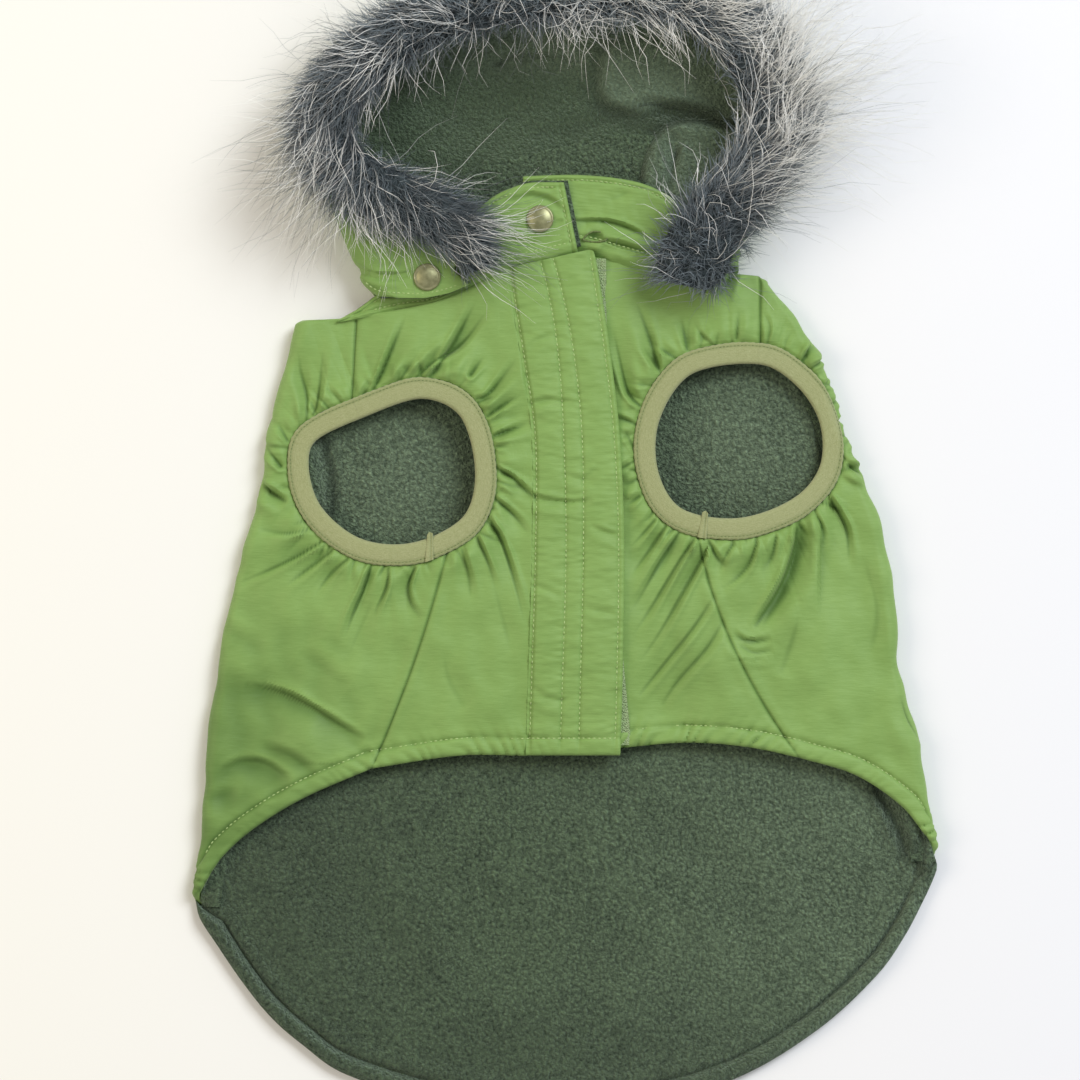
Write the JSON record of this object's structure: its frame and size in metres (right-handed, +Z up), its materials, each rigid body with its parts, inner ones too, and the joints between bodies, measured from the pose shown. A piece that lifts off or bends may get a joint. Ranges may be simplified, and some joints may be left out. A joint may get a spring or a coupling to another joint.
{
  "type": "hooded dog parka laid flat",
  "caption": "Dog parka with a fleece lining, elastic leg holes, a fly placket and a fur-trimmed hood held by snaps, laid flat belly side up.",
  "frame": {"origin": "middle of the jacket's underside, on the surface it lies on", "axes": "+Y from tail to hood, +X across the jacket to the viewer's right when the belly side is up, +Z up from the surface"},
  "size_m": [0.3444, 0.5296, 0.046],
  "materials": {
    "shell_cloth": "softly shining woven polyester, moss green",
    "fleece": "short pilled fleece, dark green",
    "elastic": "ribbed folded elastic, khaki green",
    "hook_tape": "hook and loop tape",
    "fur": "long pile fur, slate with pale tips",
    "snap_cap": "matte olive brass",
    "thread": "polyester thread"
  },
  "bodies": {
    "root": {"back_shell": "shell_cloth", "back_lining": "fleece", "side_panel_left": "shell_cloth", "side_panel_right": "shell_cloth", "front_panel_left": "shell_cloth", "front_panel_right": "shell_cloth", "belly_lining_left": "fleece", "belly_lining_right": "fleece", "placket": "shell_cloth", "closure_tape": "hook_tape", "armhole_binding_left": "elastic", "armhole_binding_right": "elastic", "collar_left": "shell_cloth", "collar_left_lining": "fleece", "collar_right": "shell_cloth", "collar_right_lining": "fleece", "collar_back": "fleece", "hood_shell": "shell_cloth", "hood_lining": "fleece", "fur_trim": "fur", "snap_collar": "snap_cap", "snap_hood": "snap_cap"}
  },
  "joints": []
}
